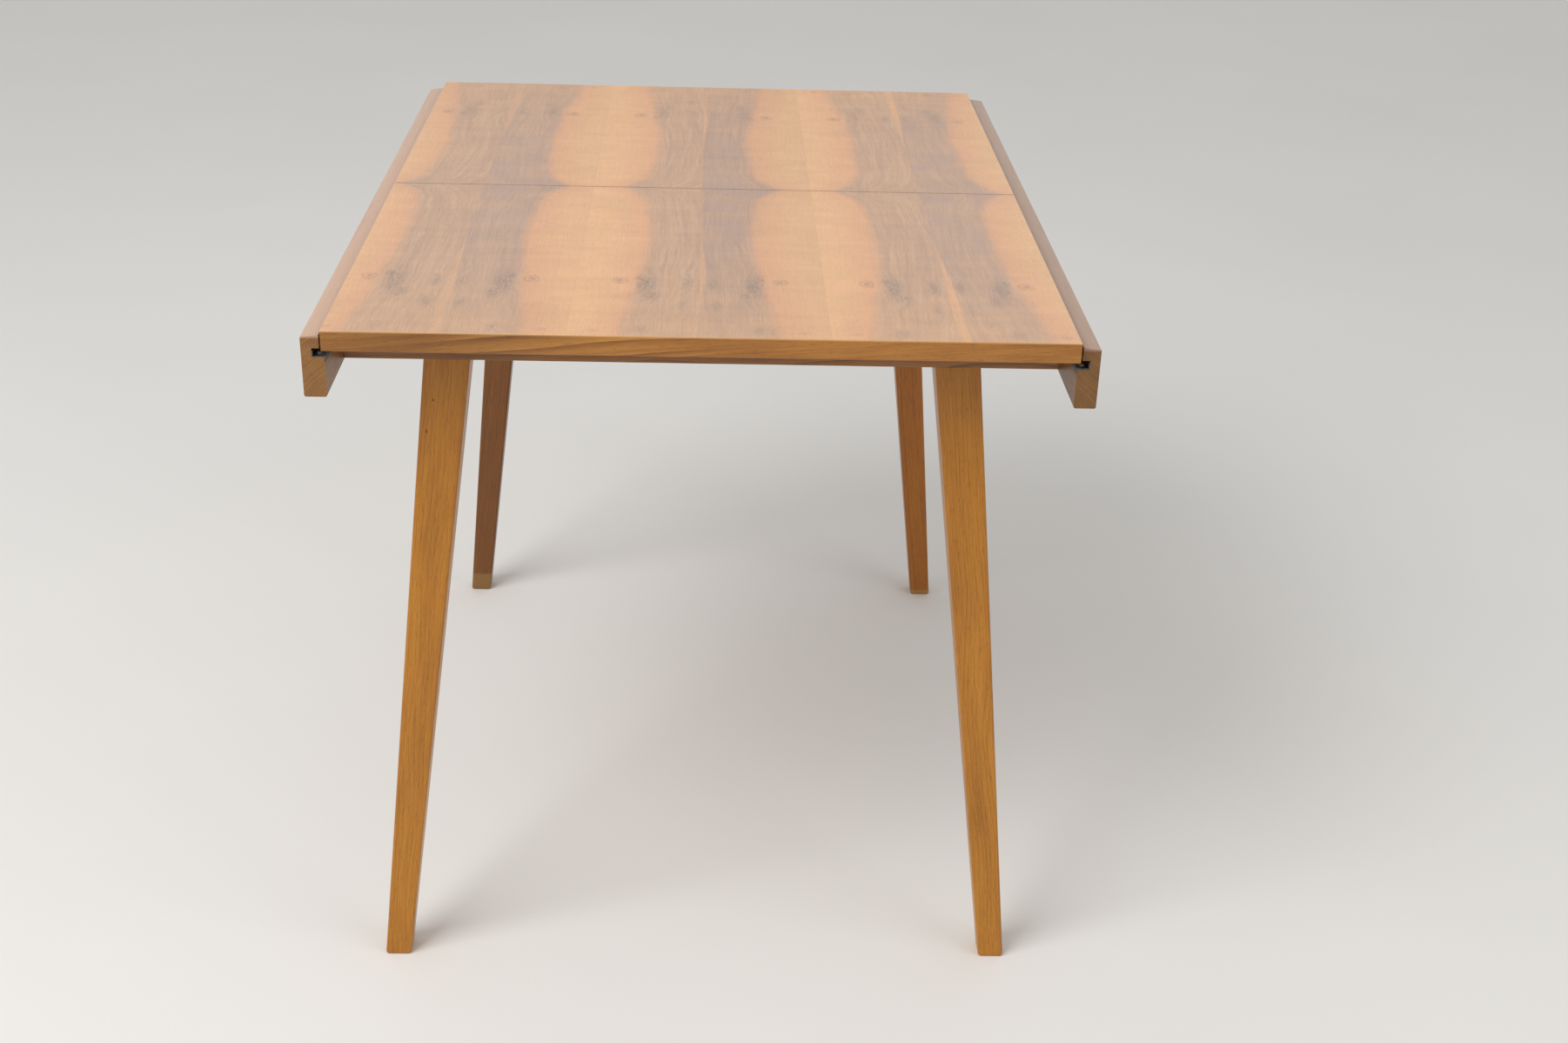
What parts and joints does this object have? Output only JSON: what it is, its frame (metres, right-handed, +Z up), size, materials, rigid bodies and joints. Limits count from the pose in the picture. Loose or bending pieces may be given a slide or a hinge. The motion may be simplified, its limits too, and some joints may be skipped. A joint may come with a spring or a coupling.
{
  "type": "extending dining table",
  "caption": "Rectangular dining table whose half leaves slide apart on grooved side rails over splayed tapered legs, with an insert leaf stored under the top.",
  "frame": {"origin": "on the floor under the middle of the closed top", "axes": "+X to the right across the table, +Y along its length away from the viewer, +Z up"},
  "size_m": [0.765, 0.98, 0.76],
  "materials": {
    "walnut_veneer": "satin lacquer, book-matched",
    "walnut_lipping": "satin lacquer",
    "blockboard_core": "sawn",
    "stained_rail": "satin lacquer over stain",
    "amber_leg": "satin lacquer over stain",
    "stained_bearer": "stained",
    "pine_block": "planed",
    "beech_runner": "planed and waxed",
    "beech_dowel": "turned",
    "track_steel": "bent sheet, dull",
    "zinc_steel": "zinc plated",
    "catch_steel": "pressed plate, dull"
  },
  "bodies": {
    "frame": {"back_bearer": "stained_bearer", "back_left_corner_block": "pine_block", "back_left_leg": "amber_leg", "back_left_leg_block": "pine_block", "back_right_corner_block": "pine_block", "back_right_leg": "amber_leg", "back_right_leg_block": "pine_block", "corner_block_screws": "zinc_steel", "front_bearer": "stained_bearer", "front_left_corner_block": "pine_block", "front_left_leg": "amber_leg", "front_left_leg_block": "pine_block", "front_right_corner_block": "pine_block", "front_right_leg": "amber_leg", "front_right_leg_block": "pine_block", "left_rail": "stained_rail", "left_track_liner": "track_steel", "leg_bolts": "zinc_steel", "leg_dowels": "beech_dowel", "leg_nuts": "zinc_steel", "leg_washers": "zinc_steel", "middle_bearer": "stained_bearer", "right_rail": "stained_rail", "right_track_liner": "track_steel", "stop_screws": "zinc_steel", "storage_cleats": "pine_block", "track_pins": "zinc_steel"},
    "front_leaf": {"catch_pivot_screws": "catch_steel", "front_leaf_lipping": "walnut_lipping", "front_leaf_panel": "blockboard_core", "front_leaf_veneer": "walnut_veneer", "front_left_runner": "beech_runner", "front_right_runner": "beech_runner", "front_runner_screws": "zinc_steel", "seam_dowels": "beech_dowel"},
    "back_leaf": {"back_leaf_lipping": "walnut_lipping", "back_leaf_panel": "blockboard_core", "back_leaf_veneer": "walnut_veneer", "back_left_runner": "beech_runner", "back_right_runner": "beech_runner", "back_runner_screws": "zinc_steel", "catch_studs": "catch_steel"},
    "left_catch": {"left_catch_hook": "catch_steel"},
    "right_catch": {"right_catch_hook": "catch_steel"},
    "insert_leaf": {"insert_back_batten": "beech_runner", "insert_batten_screws": "zinc_steel", "insert_dowels": "beech_dowel", "insert_front_batten": "beech_runner", "insert_panel": "blockboard_core", "insert_veneer": "walnut_veneer"}
  },
  "joints": [
    {"name": "front_leaf_slide", "type": "slide", "parent": "frame", "child": "front_leaf", "axis": [0, -1, 0], "range_m": [0, 0.2]},
    {"name": "back_leaf_slide", "type": "slide", "parent": "frame", "child": "back_leaf", "axis": [0, 1, 0], "range_m": [0, 0.2]},
    {"name": "left_catch_turn", "type": "hinge", "parent": "front_leaf", "child": "left_catch", "pos_m": [-0.235, -0.03, 0.73745], "axis": [0, 0, -1], "range_deg": [0, 90]},
    {"name": "right_catch_turn", "type": "hinge", "parent": "front_leaf", "child": "right_catch", "pos_m": [0.235, -0.03, 0.73745], "axis": [0, 0, 1], "range_deg": [0, 90]},
    {"name": "insert_slide", "type": "slide", "parent": "frame", "child": "insert_leaf", "axis": [0, -1, 0], "range_m": [0, 0.87]}
  ]
}
